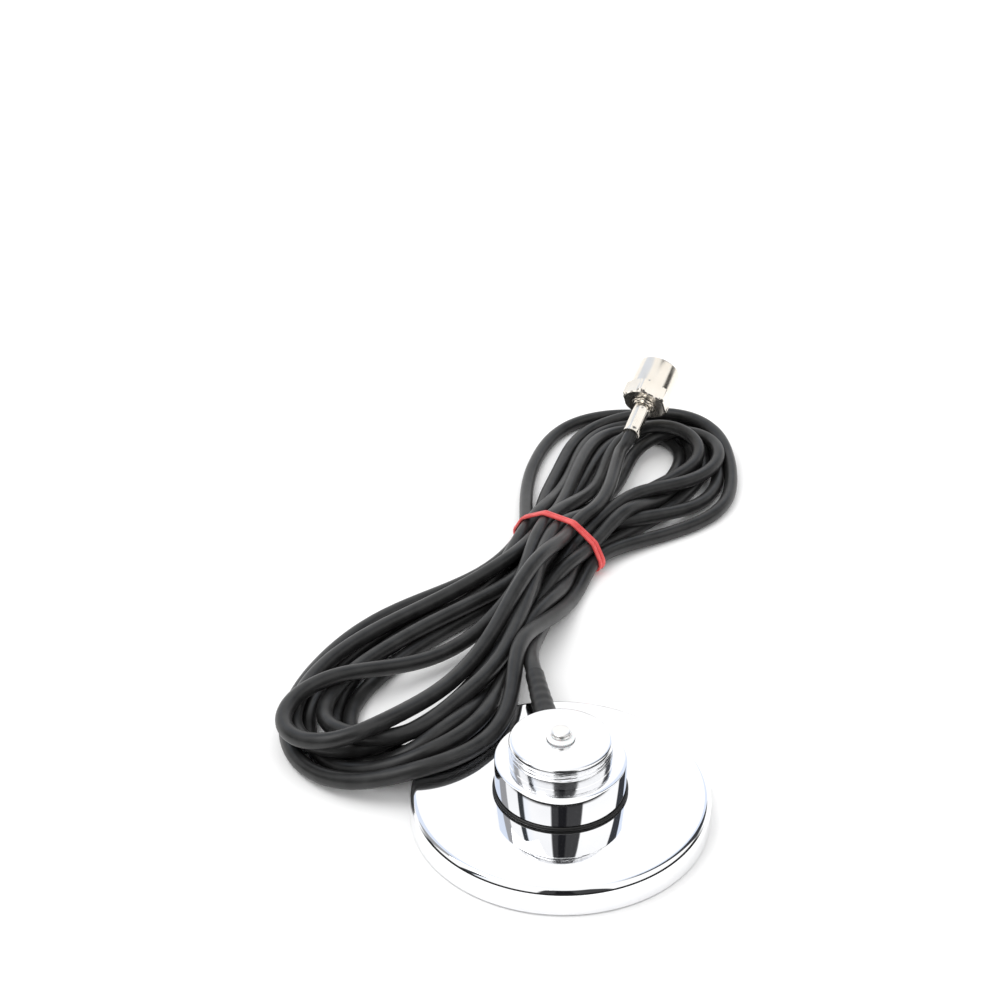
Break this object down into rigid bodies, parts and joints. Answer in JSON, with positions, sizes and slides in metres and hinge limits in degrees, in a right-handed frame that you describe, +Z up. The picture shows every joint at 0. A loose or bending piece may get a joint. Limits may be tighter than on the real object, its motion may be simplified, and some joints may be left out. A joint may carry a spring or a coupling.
{
  "type": "magnetic antenna mount",
  "caption": "Round chromed magnet base with a threaded hub and centre contact for a whip antenna, and a coaxial lead tied in a hank with a threaded plug.",
  "frame": {"origin": "centre of the base's underside, on the surface that it stands on", "axes": "+Z up along the base's and hub's axis, +Y towards the side that the lead leaves from, front face towards -Y"},
  "size_m": [0.1659, 0.2908, 0.0386],
  "materials": {
    "chrome": "polished chrome plating",
    "nickel": "bright nickel plating, slightly warm",
    "steel": "zinc-plated steel",
    "ferrite": "sintered ferrite, dull",
    "black_rubber": "black rubber, satin",
    "jacket": "black PVC cable jacket, satin",
    "potting": "dark moulded plastic",
    "white_plastic": "white insulating plastic, slightly translucent",
    "brass": "turned brass, bright",
    "copper": "bare copper wire",
    "red_rubber": "red elastic rubber",
    "grey_rubber": "grey silicone rubber"
  },
  "bodies": {
    "root": {"base_shell": "chrome", "base_foot_pad": "black_rubber", "magnet_ring": "ferrite", "magnet_potting": "potting", "hub_body": "chrome", "hub_screw_1": "steel", "hub_screw_2": "steel", "hub_screw_3": "steel", "hub_o_ring": "black_rubber", "insulator_collar": "white_plastic", "contact_pin": "nickel", "contact_nut": "brass", "cable_core": "copper", "cable_dielectric": "white_plastic", "braid_clamp": "nickel", "cable_jacket_end": "jacket", "strain_relief_boot": "black_rubber", "cord_lead": "jacket", "cord_hank": "jacket", "cord_tail": "jacket", "rubber_band": "red_rubber", "crimp_ferrule": "nickel", "plug_body": "nickel", "retaining_ring": "steel", "nut_gasket": "grey_rubber", "plug_insulator": "white_plastic", "plug_pin": "brass"},
    "coupling_nut": {"coupling_nut": "nickel"}
  },
  "joints": [
    {"name": "coupling_nut_spin", "type": "hinge", "parent": "root", "child": "coupling_nut", "pos_m": [0.0345, 0.2012, 0.0159], "axis": [0.3932, 0.7716, 0.5], "continuous": true}
  ]
}
